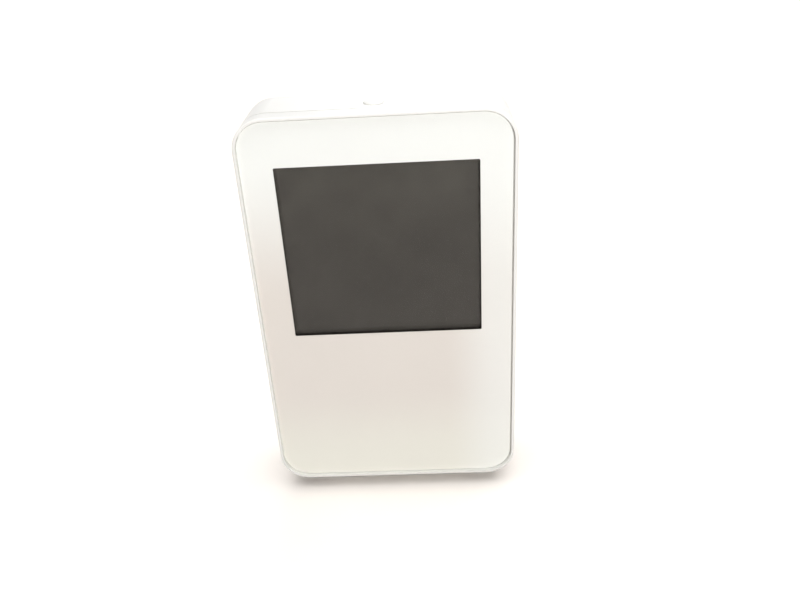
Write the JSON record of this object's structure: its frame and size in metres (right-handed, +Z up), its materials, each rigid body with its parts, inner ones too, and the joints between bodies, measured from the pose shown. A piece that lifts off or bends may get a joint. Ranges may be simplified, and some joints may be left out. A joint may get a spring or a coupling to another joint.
{
  "type": "temperature sensor",
  "caption": "Upright white indoor temperature sensor with a large dark display behind a flat lens, a top button, rear keys, a battery door and a fold-out stand.",
  "frame": {"origin": "under the middle of the base, on the surface that the unit stands on", "axes": "+Z up, +X to the right seen from the front, the front looks along -Y"},
  "size_m": [0.07, 0.022, 0.1162],
  "materials": {
    "case_plastic": "gloss white",
    "lens_acrylic": "clear, polished",
    "mask_print": "white back print",
    "tape": "foam tape",
    "display_glass": "polished",
    "polarizer": "smoky film",
    "light_guide": "frosted acrylic",
    "reflector": "white film",
    "frame_plastic": "moulded",
    "connector_rubber": "layered silicone",
    "circuit_board": "solder mask",
    "chip_epoxy": "moulded epoxy",
    "solder_tin": "tinned",
    "steel": "plated",
    "nickel": "nickel plated",
    "led_resin": "lamp resin",
    "ceramic_brown": "ceramic",
    "cell_jacket": "shrink jacket",
    "switch_plastic": "moulded",
    "key_plastic": "satin white",
    "pad_rubber": "soft"
  },
  "bodies": {
    "housing": {"front_bezel": "case_plastic", "rear_case": "case_plastic", "front_lens": "lens_acrylic", "lens_mask": "mask_print", "lens_tape": "tape", "display_front_glass": "display_glass", "display_rear_glass": "display_glass", "front_polarizer": "polarizer", "rear_polarizer": "polarizer", "light_guide": "light_guide", "reflector_sheet": "reflector", "led_strip": "circuit_board", "backlight_leds": "led_resin", "display_frame": "frame_plastic", "strip_connector": "connector_rubber", "main_board": "circuit_board", "controller_chip": "chip_epoxy", "controller_leads": "solder_tin", "radio_module": "circuit_board", "radio_shield": "solder_tin", "crystal": "nickel", "sensor_chip": "chip_epoxy", "capacitors": "ceramic_brown", "board_screws": "steel", "case_screws": "steel", "upper_cell": "cell_jacket", "lower_cell": "cell_jacket", "positive_contact": "nickel", "negative_contact": "nickel", "bridge_contact": "nickel", "upper_spring": "nickel", "lower_spring": "nickel", "top_switch": "switch_plastic", "key_switches": "switch_plastic", "unit_switch": "steel", "foot_pad": "pad_rubber"},
    "battery_door": {"battery_door": "case_plastic"},
    "stand": {"stand": "case_plastic"},
    "top_button": {"top_button": "key_plastic", "top_plunger": "switch_plastic"},
    "mode_key": {"mode_key": "key_plastic", "mode_plunger": "switch_plastic"},
    "up_key": {"up_key": "key_plastic", "up_plunger": "switch_plastic"},
    "down_key": {"down_key": "key_plastic", "down_plunger": "switch_plastic"},
    "unit_slider": {"unit_slider": "key_plastic", "unit_lever": "switch_plastic"}
  },
  "joints": [
    {"name": "battery_door_hinge", "type": "hinge", "parent": "housing", "child": "battery_door", "pos_m": [0, 0.011, 0.054], "axis": [-1, 0, 0], "range_deg": [0, 75]},
    {"name": "stand_hinge", "type": "hinge", "parent": "housing", "child": "stand", "pos_m": [0, 0.0094, 0.0467], "axis": [1, 0, 0], "range_deg": [0, 50]},
    {"name": "top_button_press", "type": "slide", "parent": "housing", "child": "top_button", "axis": [0, 0, -1], "range_m": [0, 0.0004], "stiffness_N_per_m": 400},
    {"name": "mode_key_press", "type": "slide", "parent": "housing", "child": "mode_key", "axis": [0, -1, 0], "range_m": [0, 0.0004], "stiffness_N_per_m": 400},
    {"name": "up_key_press", "type": "slide", "parent": "housing", "child": "up_key", "axis": [0, -1, 0], "range_m": [0, 0.0004], "stiffness_N_per_m": 400},
    {"name": "down_key_press", "type": "slide", "parent": "housing", "child": "down_key", "axis": [0, -1, 0], "range_m": [0, 0.0004], "stiffness_N_per_m": 400},
    {"name": "unit_slider_slide", "type": "slide", "parent": "housing", "child": "unit_slider", "axis": [1, 0, 0], "range_m": [0, 0.002]}
  ]
}
